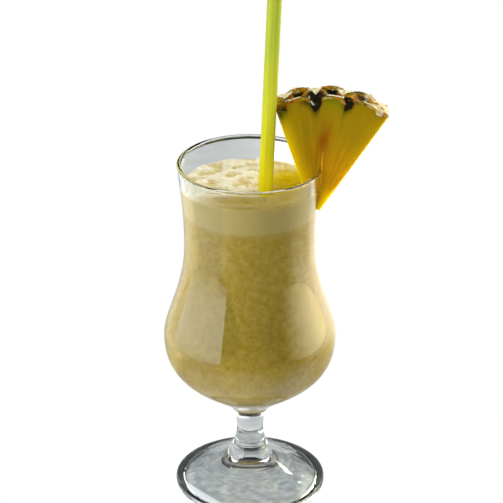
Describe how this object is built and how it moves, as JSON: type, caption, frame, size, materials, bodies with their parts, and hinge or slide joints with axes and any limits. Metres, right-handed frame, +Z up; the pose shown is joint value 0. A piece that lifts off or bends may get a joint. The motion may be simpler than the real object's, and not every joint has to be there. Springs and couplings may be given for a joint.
{
  "type": "colada smoothie in a stemmed glass",
  "caption": "Creamy fruit smoothie with a foam layer in a stemmed tulip glass, with a drinking straw and a pineapple wedge slit over the rim.",
  "frame": {"origin": "centre of the foot's flat underside, on the glass's axis", "axes": "+Z up along the glass's axis; +X towards the pineapple wedge on the rim; -Y towards the side that the picture shows"},
  "size_m": [0.1099, 0.0862, 0.2919],
  "materials": {
    "glass": "clear pressed glass, polished",
    "smoothie": "thick creamy drink, opaque pale yellow with fine fruit pulp",
    "foam": "cream-coloured foam with small bubbles",
    "straw": "translucent yellow-green polypropylene",
    "pineapple": "moist yellow flesh with a knobbly olive, brown and cream rind"
  },
  "bodies": {
    "root": {"glass": "glass", "smoothie": "smoothie", "foam": "foam", "straw": "straw", "pineapple_wedge": "pineapple"}
  },
  "joints": []
}
